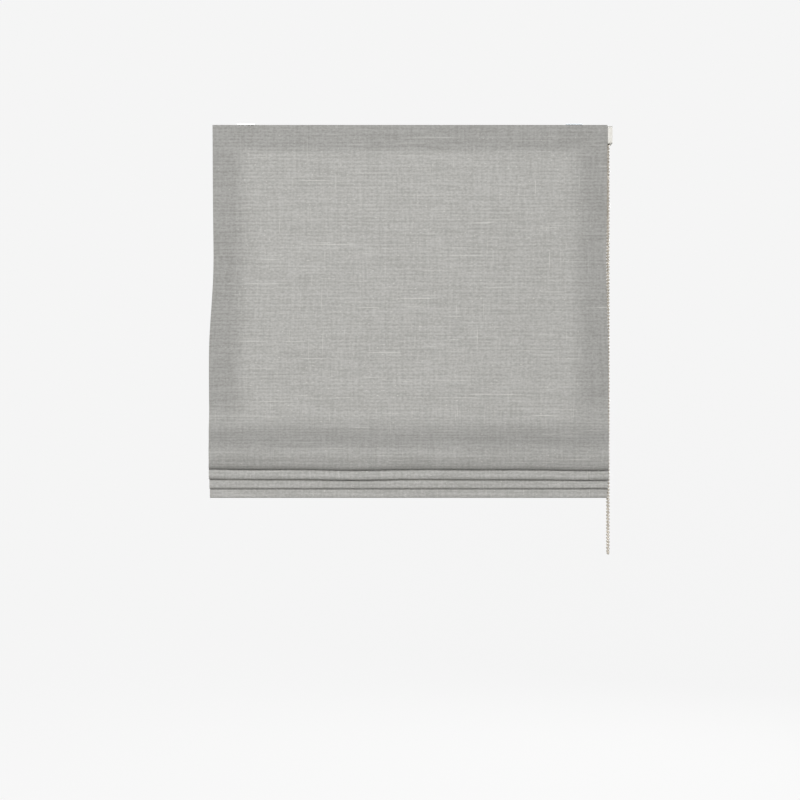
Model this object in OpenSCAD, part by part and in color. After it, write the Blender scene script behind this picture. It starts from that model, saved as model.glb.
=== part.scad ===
// Chain operated roman blind with a plain cloth, part raised: three folds hang under a flat panel.
// X runs along the width, to the right seen from the room, Y towards the window and Z up.
// Z = 0 is the fixing plane on top of the brackets. All sizes in millimetres.

/* [Cloth] */
// Finished width of the cloth
fabric_w = 720; // [500:1:1200]
// Thickness of the face cloth
face_t = 0.8; // [0.5:0.1:1.2]
// Thickness of the lining
lining_t = 0.4; // [0.2:0.1:0.8]
// Width of the side hems turned to the back
side_hem = 50; // [30:1:80]
// Distance of the lining from each side
lining_inset = 20; // [10:1:25]
// Top edge of the cloth below the fixing plane
top_drop = 3; // [2:0.5:8]

/* [Folds] */
// Root of the front fold below the fixing plane
fold_root = 541; // [440:1:700]
// Spacing of the rods on the flat panel
rod_spacing = 200; // [150:1:220]
// Height step between the gathered rods
rod_step = 17; // [14:0.5:22]
// Reach of the front fold forward of the flat panel
front_reach = 43.5; // [36:0.5:60]
// Height of the front fold from its root to its bottom
fold_h = 88; // [80:1:120]
// Height of the front fold's fullest point above its bottom
belly_rise = 37; // [34:0.5:42]
// How far the front fold tucks back from its fullest point to its bottom
belly_tuck = 18; // [12:0.5:20]
// Bend at the front of the front fold's bottom
front_bend = 19; // [14:0.5:19]
// How much lower each next fold and the hem hang
fold_step = 17.7; // [14:0.1:24]
// Width of the front loop at its bottom
loop_w = 16; // [16:0.5:20]
// How much narrower each next loop is
loop_taper = 4.5; // [3:0.5:5]
// Air between neighbouring layers of cloth
layer_gap = 1; // [0.8:0.1:3]

/* [Hem and bar] */
// Height of the bottom hem turned up at the back
hem_h = 32; // [26:1:50]
// Height of the bottom bar
bar_h = 22; // [15:1:24]
// Thickness of the bottom bar
bar_t = 3; // [2:0.5:6]

/* [Headrail] */
// Depth of the rail from front to back
rail_d = 31; // [30:0.5:40]
// Height of the rail
rail_h = 32; // [31:0.5:40]
// Wall of the rail
rail_wall = 1.3; // [1:0.1:2]
// Width of the inward lips, wall included
lip_w = 5; // [4:0.5:6]
// Top of the rail below the fixing plane
rail_drop = 4; // [3.5:0.5:8]
// Height of the hook and loop strips
strip_h = 20; // [15:1:25]
// Thickness of the hook strip
hook_t = 0.9; // [0.6:0.1:2]
// Thickness of the loop strip
loop_t = 1.2; // [0.6:0.1:2]

/* [Brackets] */
// Width of each bracket
bracket_w = 30; // [20:1:45]
// Sheet thickness of the brackets
bracket_t = 1.6; // [1.2:0.1:2.2]
// Distance from each side of the cloth to the bracket middle
bracket_inset = 60; // [40:1:85]
// Radius of the screw holes
screw_r = 2.25; // [1.75:0.05:2.75]
// Spacing of the two top screw holes of one bracket, front to back
screw_gap = 10; // [7:0.5:11]
// Depth of the rear flange for face fixing
flange_h = 26; // [22:1:32]
// Height of the face fixing hole above the lower edge of the flange
screw_rise = 10; // [6:0.5:14]

/* [Drive] */
// Inside depth of the rail that the drive set below is drawn for
drive_d = 28.4; // [26:0.1:32]
// Side of the square shaft
shaft_side = 6; // [5:0.5:6.5]
// Shaft axis behind the middle of the rail
shaft_set = 4.5; // [4:0.1:5]
// Winding radius of a spool, to the middle of the cord
spool_wind = 7; // [6.6:0.1:7.5]
// Length of a spool between its journals
spool_l = 34; // [28:1:50]
// Distance from each side of the cloth to the outer cords
cord_inset = 120; // [105:1:200]

/* [Chain] */
// Diameter of a bead
bead_d = 4.5; // [4:0.1:5]
// Distance between bead centres
bead_pitch = 6; // [5.8:0.1:6.4]
// Beads down each side of the chain loop
strand_n = 126; // [80:1:200]

/* [Rods and cords] */
// Diameter of a rod
rod_d = 4; // [3:0.5:5]
// Diameter of a lift cord
cord_d = 1.2; // [0.8:0.1:1.6]
// Outer diameter of a cord ring
ring_d = 8; // [6:0.5:9]
// Height of a cord ring
ring_h = 2.6; // [2:0.1:4]

/* [Hidden] */
$fn = 48;

// clearances: bonded faces, pieces laid against cloth, sliding fits and running fits
bond = 0.05;
seat = 0.15;
slide = 0.3;
running = 0.06;

// rail
rail_front = -rail_d / 2;
rail_back = rail_d / 2;
rail_top = -rail_drop;
rail_bottom = rail_top - rail_h;
rail_left = -fabric_w / 2 + 3;
rail_right = fabric_w / 2 - 5;
rail_floor = rail_bottom + rail_wall;
lip_under = rail_top - rail_wall;
lining_w = fabric_w - 2 * lining_inset;
lining_front = face_t + bond;
lining_back = lining_front + lining_t;
strip_len = lining_w - 4;
strip_z = rail_top - (rail_h - strip_h) / 2;
flat_y = rail_front - hook_t - loop_t - lining_back;

screw_z = screw_rise - flange_h;

// drive line, fitted to the inside of the rail
fit = (rail_d - 2 * rail_wall) / drive_d;
shaft_s = shaft_side * fit;
shaft_y = shaft_set * fit;
wind_r = spool_wind * fit;
shaft_z = (rail_floor + lip_under) / 2;
cord_x = [-fabric_w / 2 + cord_inset, 0, fabric_w / 2 - cord_inset];
cord_r = cord_d / 2;
cord_y = shaft_y - wind_r;
barrel_r = wind_r - cord_r - bond;
flange_lip = 0.7 * fit;
spool_r = wind_r + cord_r + flange_lip;
journal_wall = 1.1 * fit;
journal_r = shaft_s / sqrt(2) + journal_wall;
journal_l = 5;
bush_l = 9;
collar = 1.8 * fit;
coil_n = 12;
coil_valley = 0.1;
cradle_wall = 3;
cradle_base = 2;
eyelet_r = cord_r + 2;

// chain drive
wheel_n = 10;
pitch_r = bead_pitch * wheel_n / 360 * 180 / PI;
bead_r = bead_d / 2;
link_r = bead_d / 9;
bead_clear = 0.1;
rib_r = pitch_r - link_r - bead_clear;
rim_r = pitch_r + 2;
rim_t = 1.2;
trough = bead_d + 0.7;
wheel_t = trough + 2 * rim_t;
pin_r = 3;
cover_t = 2;
case_wall = 1.6;
case_front = rail_front;
case_back = max(rail_back, shaft_y + pitch_r + bead_r + slide + case_wall);
case_right = rail_right + 2 * case_wall + 1.5 + wheel_t + slide;
chain_x = case_right - slide - wheel_t / 2;
outlet_r = bead_r + 0.9;
plug_l = 14;
plug_wall = 2 * fit;
strand_l = strand_n * bead_pitch;

// folded cloth, as depths forward of the flat panel and heights
fold_n = 3;
stack_room = 18.85;
stack_f = stack_room - (cord_y - flat_y);
ply = face_t + lining_back + layer_gap;
crest_r = face_t + layer_gap;
crest_w = 2.3 * crest_r;
crest_drop = 13;
lean_r = 62;
belly_r = 30;
hem_r = face_t + 0.4;
bar_gap = bar_t + 2 * (face_t + slide);
lining_tuck = 4;
arc_n = 10;
belly_f = stack_f + front_reach;
belly_z = belly_rise - fold_root - fold_h;
lean_run = lean_r * tan(atan2(belly_f, fold_h - belly_rise) / 2);

function mix(a, b, t) = a + (b - a) * t;
function fold_w(k) = loop_w - loop_taper * k;
function fold_bend(k) = k == 0 ? front_bend : 0.62 * fold_w(k);
function fold_front(k) = k == 0 ? belly_f - belly_tuck : fold_back(k - 1) - ply;
function fold_back(k) = fold_front(k) - fold_w(k);
function fold_z(k) = -fold_root - fold_h - fold_step * k;
function crest_z(k) = -fold_root - crest_drop - rod_step * k;
function crest_pass(k) = (crest_z(k - 1) - crest_z(k)) / (crest_z(k - 1) - fold_z(k));
function crest_front(k) =
    k == 0 ? stack_f + crest_w / 2 : mix(crest_back(k - 1), fold_front(k), crest_pass(k)) - ply - slide;
function crest_back(k) = crest_front(k) - crest_w;

hem_f = min(crest_back(fold_n - 1), fold_back(fold_n - 1) - ply);
hem_z = fold_z(fold_n);
hung = concat(
    [[0, -top_drop, 0], [0, -fold_root, lean_r], [belly_f, belly_z, belly_r]],
    [for (k = [0 : fold_n - 1]) each [
        [fold_front(k), fold_z(k), fold_bend(k)],
        [fold_back(k), fold_z(k), 0.25 * fold_w(k)],
        [crest_front(k), crest_z(k), crest_r],
        [crest_back(k), crest_z(k), crest_r]]]);
face_run = concat(hung, [
    [hem_f, hem_z, hem_r],
    [hem_f - bar_gap, hem_z, hem_r],
    [hem_f - bar_gap, hem_z + hem_h, 0]]);
lining_run = concat(hung, [[hem_f, hem_z + hem_h - lining_tuck, 0]]);

// rods, tapes and rings
rod_r = rod_d / 2;
tape_t = 0.35;
tape_in = rod_r + 0.25;
tape_r = tape_in + tape_t;
tape_base = 12;
tape_len = lining_w - 4;
rod_len = tape_len - 4;
crest_lift = lining_back + seat + tape_r;
flat_rod_y = flat_y + lining_back + seat + tape_t / 2 + tape_r;
gather_z = lean_run - fold_root + tape_base / 2 + 1;
rod_at = concat(
    [for (k = [2 : -1 : 0]) [flat_rod_y, gather_z + k * rod_spacing]],
    [for (k = [0 : fold_n - 1])
        [flat_y - (crest_front(k) + crest_back(k)) / 2, crest_z(k) + crest_lift]]);
ring_in = cord_r + 1.2;
stop_r = 2.0;
stop_z = rod_at[5].y - ring_h / 2 - stop_r - slide;

// one offset line of a run of rounded corners: o is the distance to the left of the walk
function unit(v) = v / norm(v);
function left(v) = [-v.y, v.x];
function spin(v, a) = [v.x * cos(a) - v.y * sin(a), v.x * sin(a) + v.y * cos(a)];
function place(q) = [flat_y - q[0], q[1]];
function corner(a, b, c, r, o) =
    let (u = unit(a - b), w = unit(c - b), half = acos(u * w) / 2)
    let (mid = b + unit(u + w) * r / sin(half), out = b + u * r / tan(half) - mid)
    let (s = cross(b - a, c - b) > 0 ? 1 : -1)
    [for (i = [0 : arc_n]) mid + spin(out, s * (180 - 2 * half) * i / arc_n) * (r - s * o) / r];
function walk(run, o) =
    let (p = [for (q = run) place(q)], n = len(p) - 1)
    concat([p[0] + left(unit(p[1] - p[0])) * o],
        [for (i = [1 : n - 1]) each corner(p[i - 1], p[i], p[i + 1], run[i][2], o)],
        [p[n] + left(unit(p[n] - p[n - 1])) * o]);
function backwards(p) = [for (i = [len(p) - 1 : -1 : 0]) p[i]];

module sheet(run, front, back) {
    polygon(concat(walk(run, front), backwards(walk(run, back))));
}

// draws a Y Z outline as a bar along X
module bar_x(x0, x1) {
    translate([x0, 0, 0]) rotate([90, 0, 90]) linear_extrude(x1 - x0) children();
}

// turns a radius outline round the X axis of the shaft
module on_shaft(x) {
    translate([x, shaft_y, shaft_z]) rotate([0, 90, 0]) children();
}

module block(y0, y1, z0, z1, r) {
    translate([y0 + r, z0 + r]) square([y1 - y0 - 2 * r, z1 - z0 - 2 * r]);
    for (y = [y0 + r, y1 - r], z = [z0 + r, z1 - r]) translate([y, z]) circle(r);
    translate([y0, z0 + r]) square([y1 - y0, z1 - z0 - 2 * r]);
    translate([y0 + r, z0]) square([y1 - y0 - 2 * r, z1 - z0]);
}

module headrail() color("silver") difference() {
    bar_x(rail_left, rail_right) difference() {
        translate([rail_front, rail_bottom]) square([rail_d, rail_h]);
        translate([rail_front + rail_wall, rail_floor])
            square([rail_d - 2 * rail_wall, rail_h - 2 * rail_wall]);
        translate([rail_front + lip_w, rail_floor]) square([rail_d - 2 * lip_w, rail_h]);
    }
    for (x = cord_x) translate([x, cord_y, rail_bottom - 1])
        cylinder(r = eyelet_r + slide, h = rail_wall + 2);
}

module bracket(x) color("gainsboro") {
    leg = rail_front + lip_w + slide;
    hook = rail_front + rail_wall + slide;
    hook_top = lip_under - bond;
    flange = rail_back + bracket_t + slide;
    difference() {
        bar_x(x - bracket_w / 2, x + bracket_w / 2) {
            translate([rail_front, -bracket_t]) square([flange - rail_front, bracket_t]);
            for (m = [0, 1]) mirror([m, 0]) {
                translate([leg, hook_top - bracket_t]) square([bracket_t, -hook_top + bracket_t]);
                translate([hook, hook_top - bracket_t]) square([leg + bracket_t - hook, bracket_t]);
            }
            translate([flange - bracket_t, -flange_h]) square([bracket_t, flange_h]);
        }
        for (y = [-1, 1] * screw_gap / 2) translate([x, y, -bracket_t - 1])
            cylinder(r = screw_r, h = bracket_t + 2);
        translate([x, flange - bracket_t - 1, screw_z]) rotate([-90, 0, 0])
            cylinder(r = screw_r, h = bracket_t + 2);
    }
}

module hook_strip() color("white")
    bar_x(-strip_len / 2, strip_len / 2)
        translate([rail_front - hook_t, strip_z - strip_h]) square([hook_t, strip_h]);

module loop_strip() color("white")
    bar_x(-strip_len / 2, strip_len / 2)
        translate([rail_front - hook_t - loop_t, strip_z - strip_h]) square([loop_t, strip_h]);

module plug(x0, x1) {
    y = rail_d / 2 - rail_wall - slide;
    low = rail_floor + slide;
    high = lip_under - slide;
    bar_x(x0, x1) difference() {
        translate([-y, low]) square([2 * y, high - low]);
        translate([plug_wall - y, low + plug_wall]) square([2 * (y - plug_wall), high - low - 2 * plug_wall]);
    }
}

module idle_end_cap() color("whitesmoke") difference() {
    union() {
        bar_x(rail_left - 3, rail_left - bond) block(rail_front, rail_back, rail_bottom, rail_top, 2);
        plug(rail_left - 1, rail_left + plug_l);
        on_shaft(rail_left - 1) cylinder(r = journal_r + collar, h = bush_l - 1);
    }
    on_shaft(rail_left - 1) cylinder(r = journal_r + running, h = bush_l + 1);
}

module end_bush() color("dimgray") on_shaft(rail_left - 1 + slide) difference() {
    union() {
        cylinder(r = journal_r, h = bush_l);
        translate([0, 0, bush_l - slide]) cylinder(r = journal_r + collar, h = collar);
    }
    translate([-shaft_s / 2 - bond, -shaft_s / 2 - bond, 1])
        cube([shaft_s + 2 * bond, shaft_s + 2 * bond, bush_l + 3]);
}

module case_outline(in) {
    block(case_front + in, case_back - in, rail_bottom + in, rail_top - in, 3 - in);
}

module control_housing() color("whitesmoke") difference() {
    union() {
        bar_x(rail_right + bond, case_right) case_outline(0);
        plug(rail_right - plug_l, rail_right + 1);
    }
    bar_x(rail_right + 2 * case_wall, case_right + 1) case_outline(case_wall);
    on_shaft(rail_right - plug_l - 1) cylinder(r = journal_r + running, h = plug_l + 2 * case_wall + 2);
    for (s = [-1, 1]) translate([chain_x, shaft_y + s * pitch_r, rail_bottom - 1])
        cylinder(r = outlet_r, h = case_wall + 2);
}

module control_cover() color("whitesmoke") difference() {
    bar_x(case_right + bond, case_right + cover_t) case_outline(0);
    on_shaft(case_right - 1) cylinder(r = pin_r + running, h = cover_t + 2);
}

module chain_wheel() color("dimgray") on_shaft(chain_x) {
    side = wheel_t / 2;
    hub = -side - (chain_x - side - rail_right);
    pin = side + slide + cover_t;
    difference() {
        rotate_extrude() polygon([
            [0, hub], [journal_r, hub], [journal_r, -side], [rim_r, -side], [rim_r, -trough / 2],
            [rib_r, -trough / 2], [rib_r, trough / 2], [rim_r, trough / 2], [rim_r, side],
            [pin_r, side], [pin_r, pin], [0, pin]]);
        for (i = [0 : wheel_n - 1]) rotate((i + 0.5) * 360 / wheel_n) translate([pitch_r, 0, 0])
            sphere(bead_r + bead_clear);
        translate([-shaft_s / 2 - bond, -shaft_s / 2 - bond, hub - 1])
            cube([shaft_s + 2 * bond, shaft_s + 2 * bond, 1 - hub]);
    }
}

module drive_shaft() color("lightgray")
    translate([rail_left + 1, shaft_y - shaft_s / 2, shaft_z - shaft_s / 2])
        cube([chain_x - slide - rail_left - 1, shaft_s, shaft_s]);

module spool(x) color("white") on_shaft(x) difference() {
    union() {
        translate([0, 0, -spool_l / 2 - journal_l]) cylinder(r = journal_r, h = spool_l + 2 * journal_l);
        translate([0, 0, -spool_l / 2]) cylinder(r = barrel_r, h = spool_l);
        for (z = [-spool_l / 2, spool_l / 2 - collar]) translate([0, 0, z]) cylinder(r = spool_r, h = collar);
    }
    translate([-shaft_s / 2 - bond, -shaft_s / 2 - bond, -spool_l / 2 - journal_l - 1])
        cube([shaft_s + 2 * bond, shaft_s + 2 * bond, spool_l + 2 * journal_l + 2]);
}

module cradle(x) color("white") difference() {
    half = rail_d / 2 - rail_wall - slide;
    wall_x = spool_l / 2 + slide;
    union() {
        bar_x(x - wall_x - cradle_wall, x + wall_x + cradle_wall)
            translate([-half, rail_floor + bond]) square([2 * half, cradle_base]);
        for (x0 = [x - wall_x - cradle_wall, x + wall_x]) bar_x(x0, x0 + cradle_wall)
            translate([-half, rail_floor + bond]) square([2 * half, shaft_z - rail_floor - bond]);
        translate([x, cord_y, rail_bottom - 1]) cylinder(r = eyelet_r, h = rail_wall + 2);
    }
    on_shaft(x - spool_l) cylinder(r = journal_r + running, h = 2 * spool_l);
    translate([x, cord_y, rail_bottom - 2]) cylinder(r = cord_r + 0.6, h = rail_wall + cradle_base + 4);
}

module lift_cord(x) color("ivory") {
    translate([x, cord_y, stop_z - stop_r]) cylinder(r = cord_r, h = shaft_z - stop_z + stop_r);
    on_shaft(x) rotate_extrude() polygon(concat(
        [[barrel_r + bond, coil_n * cord_d / 2], [barrel_r + bond, -coil_n * cord_d / 2]],
        [for (i = [0 : 2 * coil_n])
            [wind_r + (i % 2 == 0 ? coil_valley : cord_r), (i / 2 - coil_n / 2) * cord_d]]));
}

module face_fabric() color("#b4b3ae") {
    in = fabric_w / 2 - side_hem;
    bar_x(-in, in) sheet(face_run, -face_t, 0);
    for (x = [-fabric_w / 2, in]) bar_x(x, x + side_hem) sheet(face_run, -face_t, face_t);
}

module lining() color("#e6e2d8") {
    bar_x(-lining_w / 2, lining_w / 2) sheet(lining_run, lining_front, lining_back);
}

module rod(i) color("white")
    bar_x(-rod_len / 2, rod_len / 2) translate(rod_at[i - 1]) circle(rod_r);

module rod_tape(i) color("#ddd9cf")
    bar_x(-tape_len / 2, tape_len / 2) translate(rod_at[i - 1]) difference() {
        union() {
            circle(tape_r);
            if (i <= 3) translate([-tape_r - tape_t / 2, -tape_base / 2]) square([tape_t, tape_base]);
        }
        circle(tape_in);
    }

module cord_rings(i) color("white") difference() {
    at = rod_at[i - 1];
    for (x = cord_x) translate([x, 0, at.y - ring_h / 2]) {
        translate([0, cord_y, 0]) cylinder(d = ring_d, h = ring_h);
        translate([-1.5, at.x, 0]) cube([3, cord_y - at.x, ring_h]);
    }
    bar_x(-fabric_w / 2, fabric_w / 2) translate(at) circle(tape_r + bond);
    for (x = cord_x) translate([x, cord_y, at.y - ring_h]) cylinder(r = ring_in, h = 2 * ring_h);
}

module bottom_bar() color("silver") {
    y = flat_y - hem_f + face_t + slide;
    z = hem_z + face_t + seat;
    bar_x(-tape_len / 2, tape_len / 2) translate([y, z]) square([bar_t, bar_h]);
}

module cord_stops() color("white") difference() {
    for (x = cord_x) translate([x, cord_y, stop_z]) sphere(stop_r);
    for (x = cord_x) translate([x, cord_y, stop_z - 2 * stop_r])
        cylinder(r = cord_r + seat, h = 4 * stop_r);
}

module chain_strand(y) {
    translate([chain_x, y, shaft_z - strand_l]) rotate_extrude() intersection() {
        union() {
            for (i = [0 : strand_n]) translate([0, i * bead_pitch]) circle(bead_r);
            square([link_r, strand_l]);
        }
        translate([0, -bead_d]) square([bead_d, strand_l + 2 * bead_d]);
    }
}

module chain_bend(z, s) {
    translate([chain_x, shaft_y, z]) rotate([90, 0, 90]) {
        for (i = [1 : wheel_n / 2 - 1]) rotate(s * i * 360 / wheel_n) translate([pitch_r, 0, 0])
            sphere(bead_r);
        rotate(s > 0 ? 0 : 180) rotate_extrude(angle = 180) translate([pitch_r, 0]) circle(link_r);
    }
}

module bead_chain() color("darkgray") {
    for (s = [-1, 1]) chain_strand(shaft_y + s * pitch_r);
    chain_bend(shaft_z, 1);
    chain_bend(shaft_z - strand_l, -1);
}

module chain_connector() color("lightgray")
    translate([chain_x, shaft_y + pitch_r, shaft_z - floor(strand_n * 0.55) * bead_pitch]) difference() {
        cylinder(r = bead_r + 0.9, h = bead_pitch + bead_d, center = true);
        cylinder(r = bead_r + bead_clear, h = 2 * bead_pitch + bead_d, center = true);
    }

headrail();
bracket(-fabric_w / 2 + bracket_inset);  // bracket_left
bracket(fabric_w / 2 - bracket_inset);  // bracket_right
hook_strip();
loop_strip();
idle_end_cap();
end_bush();
control_housing();
control_cover();
chain_wheel();
drive_shaft();
spool(cord_x[0]);  // spool_left
spool(cord_x[1]);  // spool_centre
spool(cord_x[2]);  // spool_right
cradle(cord_x[0]);  // cradle_left
cradle(cord_x[1]);  // cradle_centre
cradle(cord_x[2]);  // cradle_right
lift_cord(cord_x[0]);  // lift_cord_left
lift_cord(cord_x[1]);  // lift_cord_centre
lift_cord(cord_x[2]);  // lift_cord_right
face_fabric();
lining();
rod(1);  // rod_1
rod(2);  // rod_2
rod(3);  // rod_3
rod(4);  // rod_4
rod(5);  // rod_5
rod(6);  // rod_6
rod_tape(1);  // rod_tape_1
rod_tape(2);  // rod_tape_2
rod_tape(3);  // rod_tape_3
rod_tape(4);  // rod_tape_4
rod_tape(5);  // rod_tape_5
rod_tape(6);  // rod_tape_6
cord_rings(1);  // cord_rings_1
cord_rings(2);  // cord_rings_2
cord_rings(3);  // cord_rings_3
cord_rings(4);  // cord_rings_4
cord_rings(5);  // cord_rings_5
cord_rings(6);  // cord_rings_6
bottom_bar();
cord_stops();
bead_chain();
chain_connector();
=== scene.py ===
"""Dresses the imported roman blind: linen cloth in hung folds, lining, cords, bead chain and fittings.

Fields are in millimetres unless their name says otherwise, and meshes are in metres. X runs along the
width, to the right seen from the front, Y to the back and Z up, with the fixing plane at zero.
"""

from __future__ import annotations

import logging
import math
from dataclasses import dataclass
from enum import Enum
from typing import Any, Mapping, Sequence

import bpy
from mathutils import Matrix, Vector

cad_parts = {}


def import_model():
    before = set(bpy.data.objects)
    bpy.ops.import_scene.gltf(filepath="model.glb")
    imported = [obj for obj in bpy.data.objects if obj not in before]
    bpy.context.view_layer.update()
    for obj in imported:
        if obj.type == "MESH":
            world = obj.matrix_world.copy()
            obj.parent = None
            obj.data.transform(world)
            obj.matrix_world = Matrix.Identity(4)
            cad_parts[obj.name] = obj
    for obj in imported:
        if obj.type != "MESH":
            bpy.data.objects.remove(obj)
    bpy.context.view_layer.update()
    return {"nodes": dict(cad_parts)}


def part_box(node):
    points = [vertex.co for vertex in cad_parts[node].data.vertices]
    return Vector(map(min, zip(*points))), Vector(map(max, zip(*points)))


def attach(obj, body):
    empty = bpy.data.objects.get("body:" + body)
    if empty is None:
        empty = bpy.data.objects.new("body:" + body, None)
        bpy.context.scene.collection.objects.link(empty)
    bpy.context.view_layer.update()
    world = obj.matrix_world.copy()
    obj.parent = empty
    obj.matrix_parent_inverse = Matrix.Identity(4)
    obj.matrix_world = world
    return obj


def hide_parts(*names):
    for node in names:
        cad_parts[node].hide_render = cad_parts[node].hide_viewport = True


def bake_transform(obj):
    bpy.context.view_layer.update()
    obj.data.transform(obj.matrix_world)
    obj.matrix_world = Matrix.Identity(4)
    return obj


Point = tuple[float, float, float]
Stretch = tuple[float, float]

LOG = logging.getLogger("roman_blind")
MM = 0.001
SIDES = ("left", "centre", "right")
RODS = range(1, 7)
WHITE = (1.0, 1.0, 1.0, 1.0)
# Ends of a soft step that comes in, and of one that goes out
RISE: Stretch = (0.0, 1.0)
FALL: Stretch = (1.0, 0.0)
# How far a seed moves a noise along each axis
SEED_STEPS: Point = (1.0, 1.7, 0.6)
# Length of one band of the wave texture at a scale of 1
WAVE_BAND = 0.314
# Sockets of a Mix node: its factor, two numbers and two colours, and the number or colour that it gives
FACTOR = 0
NUMBER_A, NUMBER_B = 2, 3
COLOUR_A, COLOUR_B = 6, 7
MIXED_NUMBER, MIXED_COLOUR = 0, 2


class Body(Enum):
    """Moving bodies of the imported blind."""

    RAIL = "rail"
    DRIVE = "drive"
    STACK = "stack"
    ROD_ONE = "rod_one"
    ROD_TWO = "rod_two"


def linear(hex_colour: str) -> tuple[float, float, float, float]:
    """Turns an sRGB hex colour into linear light.

    Args:
        hex_colour: Colour written as #RRGGBB.

    Returns:
        Red, green, blue and an alpha of one.
    """
    channels = []
    for start in (1, 3, 5):
        value = int(hex_colour[start:start + 2], 16) / 255.0
        channels.append(value / 12.92 if value <= 0.04045 else ((value + 0.055) / 1.055) ** 2.4)
    return channels[0], channels[1], channels[2], 1.0


def add(tree: bpy.types.NodeTree, kind: str, inputs: Mapping[Any, Any] | None = None,
        **settings: Any) -> bpy.types.Node:
    """Adds one node with its settings, input values and links.

    Args:
        tree: Tree that gets the node.
        kind: Node type's identifier.
        inputs: For each input, by name or index, its value or the socket that it is linked from.
        settings: The node's own properties.

    Returns:
        The new node.
    """
    node = tree.nodes.new(kind)
    for name, value in settings.items():
        setattr(node, name, value)
    for key, value in (inputs or {}).items():
        if isinstance(value, bpy.types.NodeSocket):
            tree.links.new(value, node.inputs[key])
        else:
            node.inputs[key].default_value = value
    return node


def smooth(low: float, high: float, value: float) -> float:
    """Gives a soft step from 0 at low to 1 at high."""
    t = min(1.0, max(0.0, (value - low) / (high - low)))
    return t * t * (3.0 - 2.0 * t)


def mesh_piece(name: str, verts: Sequence[Point], faces: Sequence[Sequence[int]],
               edges: Sequence[Sequence[int]] = (),
               material: bpy.types.Material | None = None) -> bpy.types.Object:
    """Makes a mesh object at the origin and links it to the scene.

    Args:
        name: Name of the piece.
        verts: Points in metres.
        faces: Corners of each face.
        edges: Loose edges, for a line that nodes will follow.
        material: Finish of the piece.

    Returns:
        The new object.
    """
    mesh = bpy.data.meshes.new(name)
    mesh.from_pydata([tuple(v) for v in verts], [tuple(e) for e in edges], [tuple(f) for f in faces])
    if material is not None:
        mesh.materials.append(material)
    mesh.update()
    piece = bpy.data.objects.new(name, mesh)
    bpy.context.scene.collection.objects.link(piece)
    return piece


def lines_piece(name: str, lines: Sequence[Sequence[Point]]) -> bpy.types.Object:
    """Makes an object of open lines for a node tree to follow.

    Args:
        name: Name of the piece.
        lines: Each line's points in metres.

    Returns:
        The new object, which has edges and no faces.
    """
    verts: list[Point] = []
    edges: list[tuple[int, int]] = []
    for line in lines:
        first = len(verts)
        verts.extend(line)
        edges.extend((first + i, first + i + 1) for i in range(len(line) - 1))
    return mesh_piece(name, verts, (), edges)


def realise(piece: bpy.types.Object, tree: bpy.types.NodeTree, values: Mapping[str, Any]) -> None:
    """Runs a node tree on a piece and keeps the result as its plain mesh.

    Args:
        piece: Object that the tree starts from.
        tree: Geometry Nodes tree.
        values: Input values by the socket's name.
    """
    modifier = piece.modifiers.new("shape", "NODES")
    modifier.node_group = tree
    for item in tree.interface.items_tree:
        if item.item_type == "SOCKET" and item.in_out == "INPUT" and item.name in values:
            modifier[item.identifier] = values[item.name]
    graph = bpy.context.evaluated_depsgraph_get()
    made = bpy.data.meshes.new_from_object(piece.evaluated_get(graph), depsgraph=graph)
    piece.modifiers.clear()
    old = piece.data
    piece.data = made
    bpy.data.meshes.remove(old)
    made.name = piece.name


def start_tree(name: str, numbers: Sequence[str],
               vectors: Sequence[str] = ()) -> tuple[bpy.types.NodeTree, bpy.types.Node]:
    """Starts a Geometry Nodes tree whose named inputs end with its finish.

    Args:
        name: Name of the tree.
        numbers: Names of the inputs of one number.
        vectors: Names of the inputs of three numbers.

    Returns:
        The tree and its input node.
    """
    tree = bpy.data.node_groups.new(name, "GeometryNodeTree")
    for kind, labels in (("Geometry", ("Geometry",)), ("Float", numbers), ("Vector", vectors),
                         ("Material", ("Finish",))):
        for label in labels:
            tree.interface.new_socket(name=label, in_out="INPUT", socket_type=f"NodeSocket{kind}")
    tree.interface.new_socket(name="Geometry", in_out="OUTPUT", socket_type="NodeSocketGeometry")
    return tree, add(tree, "NodeGroupInput")


def tube(tree: bpy.types.NodeTree, line: bpy.types.NodeSocket, radius: bpy.types.NodeSocket,
         sides: int) -> bpy.types.NodeSocket:
    """Lays a round cord with closed ends along a curve.

    Args:
        tree: Tree that gets the cord.
        line: Socket of the curve.
        radius: Socket of the cord's radius.
        sides: Flats of the cord's section.

    Returns:
        Socket of the cord's mesh.
    """
    ring = add(tree, "GeometryNodeCurvePrimitiveCircle", {"Resolution": sides, "Radius": radius})
    cord = add(tree, "GeometryNodeCurveToMesh",
               {"Curve": line, "Profile Curve": ring.outputs["Curve"], "Fill Caps": True})
    return cord.outputs["Mesh"]


def end_tree(tree: bpy.types.NodeTree, shape: bpy.types.NodeSocket,
             finish: bpy.types.NodeSocket) -> None:
    """Ends a tree: instances made real, smooth shading and the finish set.

    Args:
        tree: Tree to end.
        shape: Geometry socket of the finished shape.
        finish: Material socket.
    """
    real = add(tree, "GeometryNodeRealizeInstances", {"Geometry": shape})
    soft = add(tree, "GeometryNodeSetShadeSmooth", {"Geometry": real.outputs["Geometry"]})
    dressed = add(tree, "GeometryNodeSetMaterial",
                  {"Geometry": soft.outputs["Geometry"], "Material": finish})
    add(tree, "NodeGroupOutput", {"Geometry": dressed.outputs["Geometry"]})


def bends_with_lift(piece: bpy.types.Object, y: float, start: float, end: float) -> None:
    """Bakes a piece's transform into its mesh; the piece does not bend with the lift.

    Args:
        piece: Mesh that crosses the lift.
        y: Depth of the piece in metres; not used.
        start: Height in millimetres above which the piece would stay; not used.
        end: Height in millimetres below which it would go with the stack; not used.
    """
    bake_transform(piece)


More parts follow.
